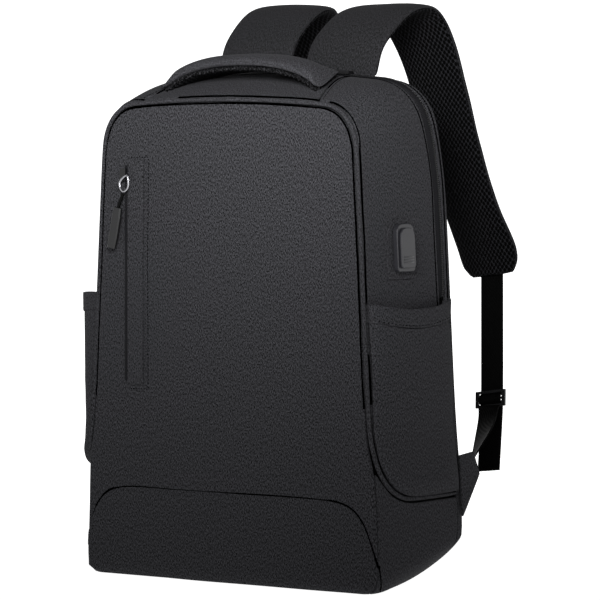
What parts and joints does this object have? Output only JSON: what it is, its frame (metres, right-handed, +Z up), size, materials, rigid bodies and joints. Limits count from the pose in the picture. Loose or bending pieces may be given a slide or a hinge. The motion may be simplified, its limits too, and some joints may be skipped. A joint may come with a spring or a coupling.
{
  "type": "laptop backpack",
  "caption": "Soft rectangular laptop backpack with piped front, padded back and shoulder straps, grab handle, two open side pockets and a hidden front zip pocket.",
  "frame": {"origin": "middle of the flat base, on the floor", "axes": "+X to the right of the bag seen from its front, +Y from its front to its back, +Z up"},
  "size_m": [0.3654, 0.2737, 0.5288],
  "materials": {
    "shell_cloth": "matte mottled charcoal polyester weave",
    "air_mesh": "black spacer mesh with rows of open cells",
    "webbing": "flat woven black webbing",
    "zip": "woven zip tape with nylon coil",
    "black_plastic": "moulded satin black",
    "black_rubber": "smooth satin rubber",
    "bright_metal": "bright plated"
  },
  "bodies": {
    "root": {"front_panel": "shell_cloth", "boot_panel": "shell_cloth", "base_panel": "shell_cloth", "front_piping": "shell_cloth", "top_gusset": "shell_cloth", "back_band": "shell_cloth", "back_panel": "air_mesh", "main_zip": "zip", "main_zip_slider": "black_plastic", "main_zip_tab": "bright_metal", "grab_handle": "shell_cloth", "grab_handle_mesh": "air_mesh", "front_zip_welt": "shell_cloth", "front_zip_tape": "zip", "front_zip_slider": "black_plastic", "front_zip_wire": "bright_metal", "front_zip_pull_cord": "webbing", "front_zip_pull_grip": "black_rubber", "usb_patch": "shell_cloth", "usb_housing": "black_plastic", "usb_cover": "black_rubber", "side_lower_right": "shell_cloth", "side_gusset_right": "shell_cloth", "side_pocket_right": "shell_cloth", "pocket_hem_right": "shell_cloth", "shoulder_strap_right": "shell_cloth", "shoulder_strap_mesh_right": "air_mesh", "tri_glide_right": "black_plastic", "strap_webbing_right": "webbing", "lower_webbing_right": "webbing", "strap_wing_right": "shell_cloth", "side_lower_left": "shell_cloth", "side_gusset_left": "shell_cloth", "side_pocket_left": "shell_cloth", "pocket_hem_left": "shell_cloth", "shoulder_strap_left": "shell_cloth", "shoulder_strap_mesh_left": "air_mesh", "tri_glide_left": "black_plastic", "strap_webbing_left": "webbing", "lower_webbing_left": "webbing", "strap_wing_left": "shell_cloth"}
  },
  "joints": []
}
